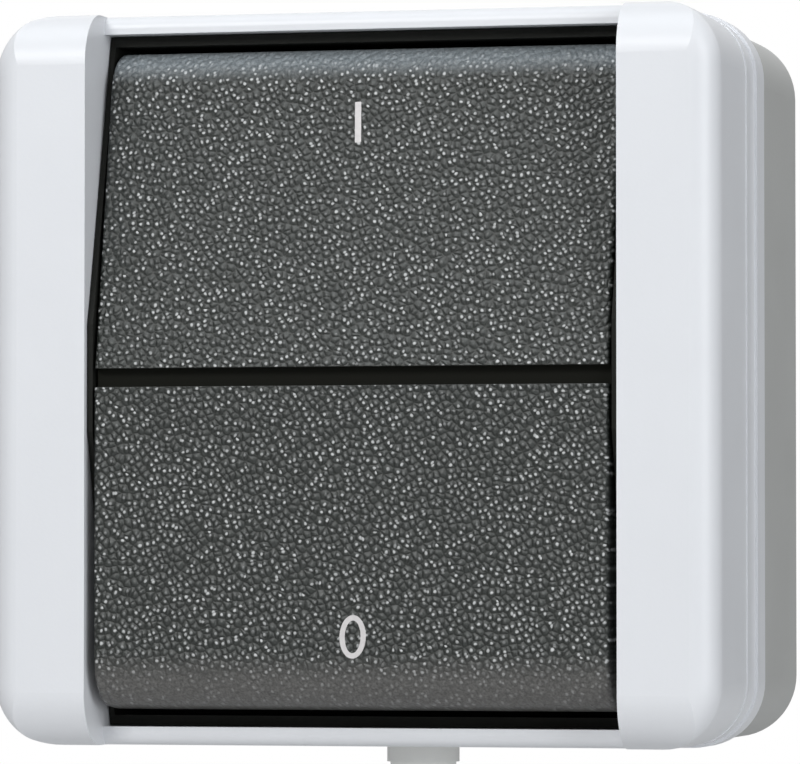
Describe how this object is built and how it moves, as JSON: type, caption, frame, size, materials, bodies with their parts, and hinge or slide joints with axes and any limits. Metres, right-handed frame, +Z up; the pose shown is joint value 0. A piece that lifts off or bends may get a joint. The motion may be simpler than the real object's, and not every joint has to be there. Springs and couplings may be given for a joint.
{
  "type": "two-pole rocker light switch",
  "caption": "Surface-mounted splash-proof two-pole light switch: wall box, cover with proud side rails and a grained rocker.",
  "frame": {"origin": "centre of the wall box's back face, which lies on the wall", "axes": "+Y into the wall, the front faces -Y, +Z up, +X to the right seen from the front"},
  "size_m": [0.0766, 0.048, 0.0806],
  "materials": {
    "light_plastic": "satin light grey moulded",
    "grey_plastic": "satin mid grey moulded",
    "rocker_plastic": "dark grey, pebble grained",
    "frame_plastic": "dark grey, fine matt",
    "insert_plastic": "off-white moulded",
    "plunger_plastic": "natural nylon",
    "pale_rubber": "soft light grey",
    "black_rubber": "soft black",
    "zinc_steel": "bright zinc plated",
    "spring_steel": "bright drawn wire",
    "brass": "plain stamped",
    "silver": "satin contact silver"
  },
  "bodies": {
    "housing": {"box_gasket": "black_rubber", "clamp_screws": "zinc_steel", "cover": "light_plastic", "entry_seal": "pale_rubber", "insert_base": "insert_plastic", "insert_lid": "insert_plastic", "lid_screws": "zinc_steel", "live_fixed_contact": "brass", "live_fixed_tip": "silver", "live_in_terminal": "brass", "live_lever_support": "brass", "live_out_terminal": "brass", "mounting_plate": "zinc_steel", "neutral_fixed_contact": "brass", "neutral_fixed_tip": "silver", "neutral_in_terminal": "brass", "neutral_lever_support": "brass", "neutral_out_terminal": "brass", "plate_screws": "zinc_steel", "rocker_frame": "frame_plastic", "splash_membrane": "black_rubber", "wall_box": "grey_plastic"},
    "rocker": {"rocker": "rocker_plastic", "live_spring": "spring_steel", "neutral_spring": "spring_steel"},
    "live_plunger_body": {"live_plunger": "plunger_plastic"},
    "live_lever": {"live_contact_lever": "brass", "live_moving_tip": "silver"},
    "neutral_plunger_body": {"neutral_plunger": "plunger_plastic"},
    "neutral_lever": {"neutral_contact_lever": "brass", "neutral_moving_tip": "silver"}
  },
  "joints": [
    {"name": "rocker_tilt", "type": "hinge", "parent": "housing", "child": "rocker", "pos_m": [0, -0.038, 0], "axis": [1, 0, 0], "range_deg": [0, 11]},
    {"name": "live_lever_tilt", "type": "hinge", "parent": "housing", "child": "live_lever", "pos_m": [-0.011, -0.013, 0], "axis": [1, 0, 0], "range_deg": [-11, 0]},
    {"name": "live_plunger_slide", "type": "slide", "parent": "rocker", "child": "live_plunger_body", "axis": [0, -0.9954, 0.0958], "range_m": [0, 0.0006], "stiffness_N_per_m": 300, "springref_m": -0.004, "deforming": ["live_spring"]},
    {"name": "neutral_lever_tilt", "type": "hinge", "parent": "housing", "child": "neutral_lever", "pos_m": [0.011, -0.013, 0], "axis": [1, 0, 0], "range_deg": [-11, 0]},
    {"name": "neutral_plunger_slide", "type": "slide", "parent": "rocker", "child": "neutral_plunger_body", "axis": [0, -0.9954, 0.0958], "range_m": [0, 0.0006], "stiffness_N_per_m": 300, "springref_m": -0.004, "deforming": ["neutral_spring"]}
  ],
  "couplings": [
    {"joint": "live_lever_tilt", "follows": "rocker_tilt", "ratio": -1},
    {"joint": "neutral_lever_tilt", "follows": "rocker_tilt", "ratio": -1}
  ]
}
